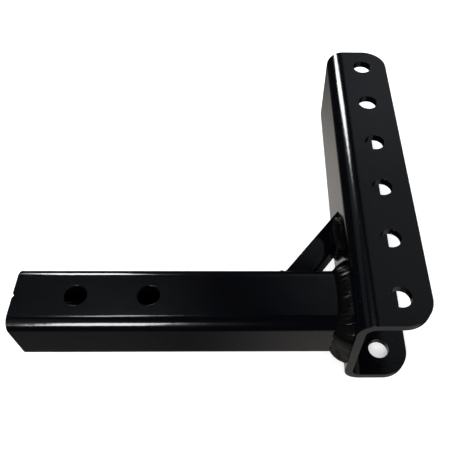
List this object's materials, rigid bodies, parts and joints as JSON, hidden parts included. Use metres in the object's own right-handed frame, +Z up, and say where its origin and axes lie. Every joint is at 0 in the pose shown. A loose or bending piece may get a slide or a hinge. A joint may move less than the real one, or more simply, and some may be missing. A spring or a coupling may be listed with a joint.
{
  "type": "adjustable trailer hitch drawbar",
  "caption": "Welded steel drawbar: a square shank tube for a receiver, a drilled upright channel that takes a ball-mount head at several heights, and a diagonal brace bar.",
  "frame": {"origin": "centre of the outer hitch-pin hole, on the axis of the shank", "axes": "+Z up as the part lies on its side, along every pin and bolt; +X along the shank towards the trailer; +Y along the channel, upright in use"},
  "size_m": [0.3025, 0.2997, 0.092],
  "materials": {
    "black_enamel": "gloss",
    "painted_weld": "gloss over rippled weld metal"
  },
  "bodies": {
    "root": {"shank_tube": "black_enamel", "channel": "black_enamel", "brace": "black_enamel", "weld_shank_far": "painted_weld", "weld_shank_top": "painted_weld", "weld_shank_bottom": "painted_weld", "weld_shank_near_root": "painted_weld", "weld_shank_near_cover": "painted_weld", "weld_brace_web_top": "painted_weld", "weld_brace_web_bottom": "painted_weld", "weld_brace_web_outer": "painted_weld", "weld_brace_web_inner": "painted_weld", "weld_brace_shank_top": "painted_weld", "weld_brace_shank_bottom": "painted_weld", "weld_brace_shank_outer": "painted_weld", "weld_brace_shank_inner": "painted_weld"}
  },
  "joints": []
}
